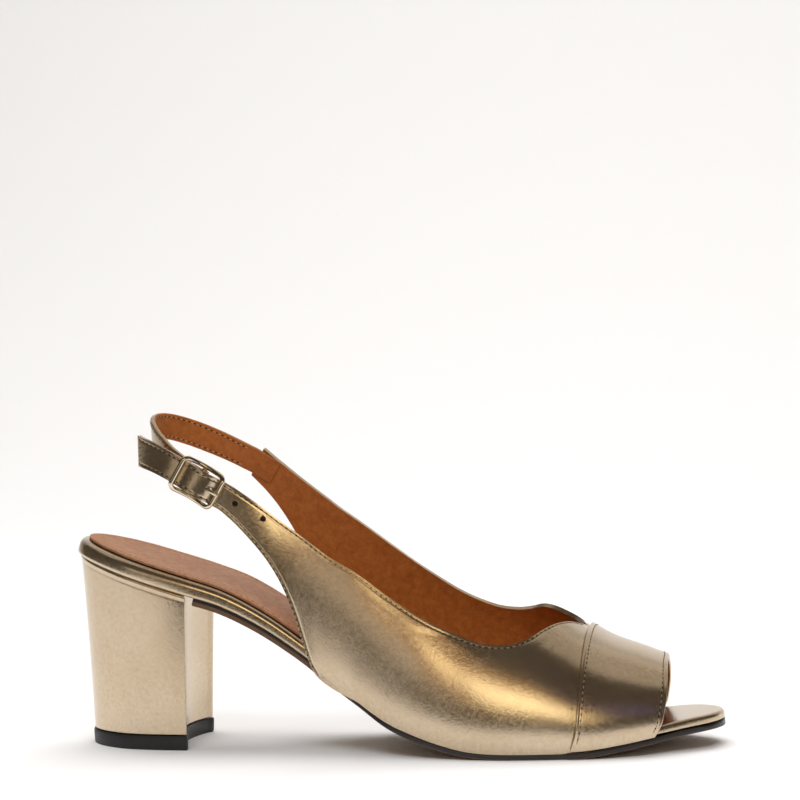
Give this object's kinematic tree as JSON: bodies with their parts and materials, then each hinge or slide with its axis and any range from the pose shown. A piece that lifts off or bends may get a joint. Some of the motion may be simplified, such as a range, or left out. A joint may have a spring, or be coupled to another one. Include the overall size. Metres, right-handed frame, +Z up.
{
  "type": "leather sandal",
  "caption": "Right slingback sandal in gold leather with a covered block heel, peep toe, open waist and a buckled strap round the heel.",
  "frame": {"origin": "centre of the shoe's outline on the floor it stands on", "axes": "+X forward to the toe, +Y to the inner side of a right foot, +Z up"},
  "size_m": [0.2482, 0.0806, 0.1264],
  "materials": {
    "gold_leather": "champagne gold foil on fine grained leather, satin",
    "lining_leather": "tan lining leather, matt",
    "sole_leather": "black painted edge, brown waxed underside",
    "top_piece_rubber": "black rubber, matt",
    "buckle_metal": "pale gold plating, polished"
  },
  "bodies": {
    "root": {"upper": "gold_leather", "toe_band": "gold_leather", "sling_strap": "gold_leather", "insole": "gold_leather", "heel": "gold_leather", "sock": "lining_leather", "outsole": "sole_leather", "top_piece": "top_piece_rubber", "buckle_frame": "buckle_metal", "buckle_prong": "buckle_metal"}
  },
  "joints": []
}
